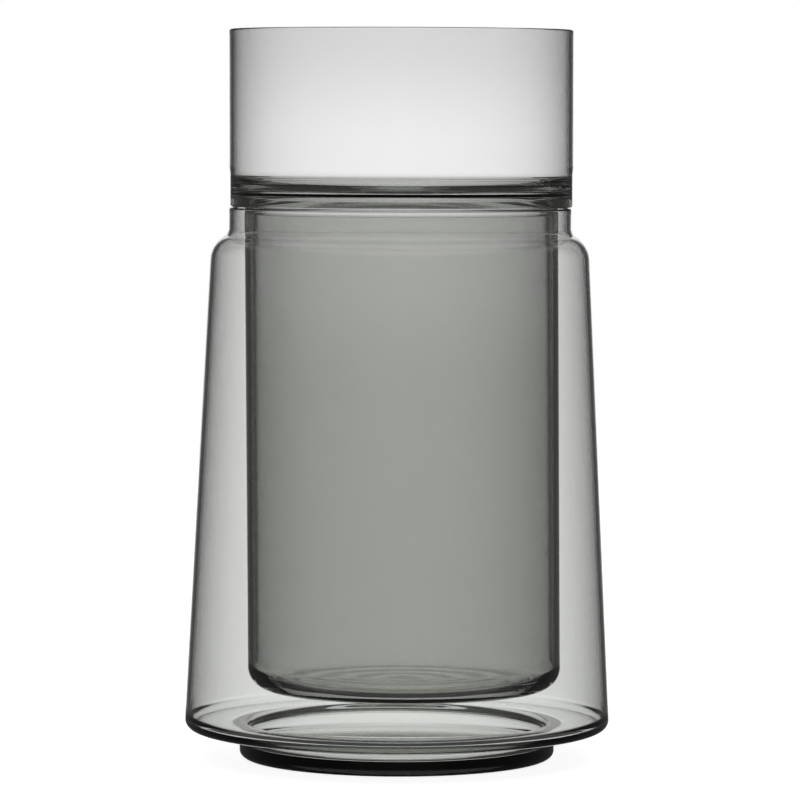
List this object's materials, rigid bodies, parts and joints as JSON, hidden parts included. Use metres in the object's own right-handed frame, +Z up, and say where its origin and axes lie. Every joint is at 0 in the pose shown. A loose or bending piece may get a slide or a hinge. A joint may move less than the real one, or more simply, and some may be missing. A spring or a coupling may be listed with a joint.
{
  "type": "glass cylinder vase",
  "caption": "Smoke-glass vase in two nested vessels: a tapered outer body on a hollow foot, and a cylinder that hangs inside it and rises above the neck as an open cup.",
  "frame": {"origin": "centre of the foot's flat underside, on the surface that the vase stands on", "axes": "+Z up along the common axis of both vessels, out of the cup; +X and +Y level, and alike by symmetry"},
  "size_m": [0.1752, 0.1752, 0.3],
  "materials": {
    "outer_glass": "clear pale smoke-grey blown glass, fire-polished rim",
    "inner_glass": "clear smoke-grey blown glass with a faint green cast, fire-polished rim"
  },
  "bodies": {
    "outer": {"outer_vessel": "outer_glass"},
    "inner": {"inner_vessel": "inner_glass"}
  },
  "joints": [
    {"name": "inner_lift", "type": "slide", "parent": "outer", "child": "inner", "axis": [0, 0, 1], "range_m": [0, 0.22]}
  ]
}
